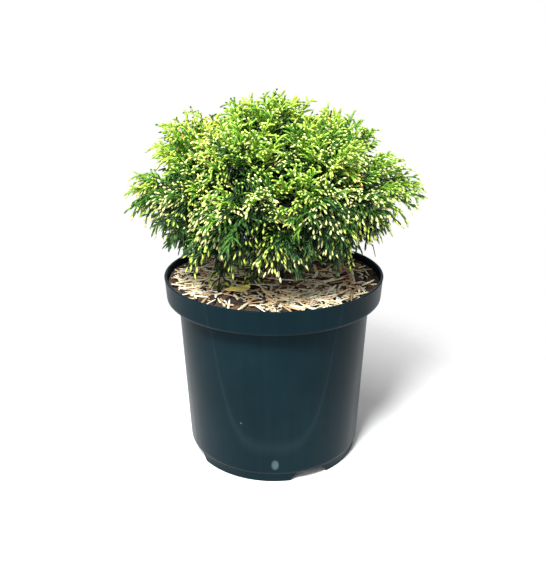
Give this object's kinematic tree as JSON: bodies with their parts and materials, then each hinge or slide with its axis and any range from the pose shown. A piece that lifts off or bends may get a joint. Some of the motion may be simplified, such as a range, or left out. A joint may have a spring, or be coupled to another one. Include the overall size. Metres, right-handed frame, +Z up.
{
  "type": "potted white pygmy sawara cypress",
  "caption": "Low mounded dwarf sawara cypress with cream-tipped green sprays, growing from mulch in a round dark blue-green nursery pot.",
  "frame": {"origin": "centre of the pot's underside, on the level surface that its foot ring stands on, under the middle of the whole plant", "axes": "+Z up along the pot's axis, -Y towards the viewer of the picture, +X to that viewer's right"},
  "size_m": [0.3033, 0.2622, 0.373],
  "materials": {
    "pot_plastic": "satin injection-moulded polypropylene with faint upright streaks and light scuffs",
    "compost": "dark damp bark compost",
    "wood_mulch": "dry shredded wood and bark, straw to red-brown",
    "yellow_leaf": "dry fallen leaf, satin",
    "bark": "fine stringy red-brown bark",
    "foliage_yellow_green": "waxy fresh shoots in full light",
    "foliage_green": "waxy shoots with cream tips",
    "foliage_deep_green": "older shaded shoots"
  },
  "bodies": {
    "root": {"pot": "pot_plastic", "soil": "compost", "mulch": "wood_mulch", "fallen_leaf": "yellow_leaf", "trunk": "bark", "bough_back": "bark", "bough_back_left": "bark", "bough_back_right": "bark", "bough_front_left": "bark", "bough_front_right": "bark", "bough_shoulder_back_left": "bark", "bough_shoulder_back_right": "bark", "bough_shoulder_front_left": "bark", "bough_shoulder_left": "bark", "bough_shoulder_right": "bark", "bough_side_left": "bark", "bough_side_right": "bark", "bough_skirt_back": "bark", "bough_skirt_back_left": "bark", "bough_skirt_back_right": "bark", "bough_skirt_front": "bark", "bough_skirt_front_left": "bark", "bough_skirt_left": "bark", "bough_skirt_right": "bark", "bough_wing_left": "bark", "bough_wing_right": "bark", "foliage_back": "foliage_green", "foliage_back_left": "foliage_green", "foliage_back_right": "foliage_green", "foliage_front_left": "foliage_green", "foliage_front_right": "foliage_green", "foliage_shoulder_back_left": "foliage_yellow_green", "foliage_shoulder_back_right": "foliage_yellow_green", "foliage_shoulder_front_left": "foliage_yellow_green", "foliage_shoulder_left": "foliage_yellow_green", "foliage_shoulder_right": "foliage_yellow_green", "foliage_side_left": "foliage_green", "foliage_side_right": "foliage_green", "foliage_skirt_back": "foliage_deep_green", "foliage_skirt_back_left": "foliage_deep_green", "foliage_skirt_back_right": "foliage_deep_green", "foliage_skirt_front": "foliage_deep_green", "foliage_skirt_front_left": "foliage_deep_green", "foliage_skirt_left": "foliage_deep_green", "foliage_skirt_right": "foliage_deep_green", "foliage_top": "foliage_yellow_green", "foliage_wing_left": "foliage_green", "foliage_wing_right": "foliage_green"}
  },
  "joints": []
}
